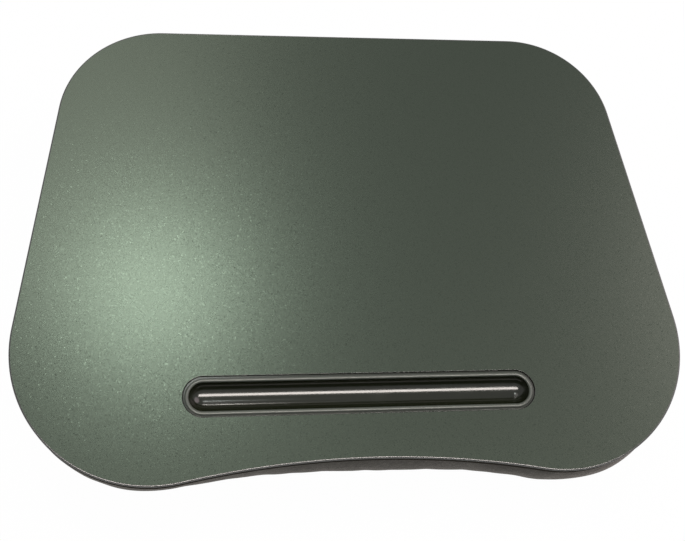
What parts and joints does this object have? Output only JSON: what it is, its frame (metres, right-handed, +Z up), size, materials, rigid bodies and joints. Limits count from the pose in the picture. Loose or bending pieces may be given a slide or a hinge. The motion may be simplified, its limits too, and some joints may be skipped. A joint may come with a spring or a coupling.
{
  "type": "lap desk",
  "caption": "Cushioned lap desk: a thin board with rounded corners and a belly curve at its front, a recessed pen tray near that edge, and a filled fabric cushion bonded under it.",
  "frame": {"origin": "middle of the footprint, on the surface that the cushion rests on", "axes": "+Z up out of the board's writing face; the person sits at -Y, where the board's edge curves in and the pen tray lies; +X to that person's right"},
  "size_m": [0.38, 0.276, 0.06],
  "materials": {
    "graphite_film": "satin dark grey-green film over fibreboard, with fine metallic flecks",
    "tray_plastic": "moulded dark plastic, glossy trough and satin flange",
    "foam_tape": "foam",
    "hardboard": "bare hardboard",
    "cover_fabric": "charcoal felt-like polyester knit, matt",
    "bag_liner": "thin nonwoven"
  },
  "bodies": {
    "root": {"desk_board": "graphite_film", "pen_tray": "tray_plastic", "mounting_tape_front": "foam_tape", "mounting_tape_middle": "foam_tape", "mounting_tape_rear": "foam_tape", "backing_panel": "hardboard", "side_band_front": "cover_fabric", "side_band_rear": "cover_fabric", "bottom_panel": "cover_fabric", "fill_bag": "bag_liner"}
  },
  "joints": []
}
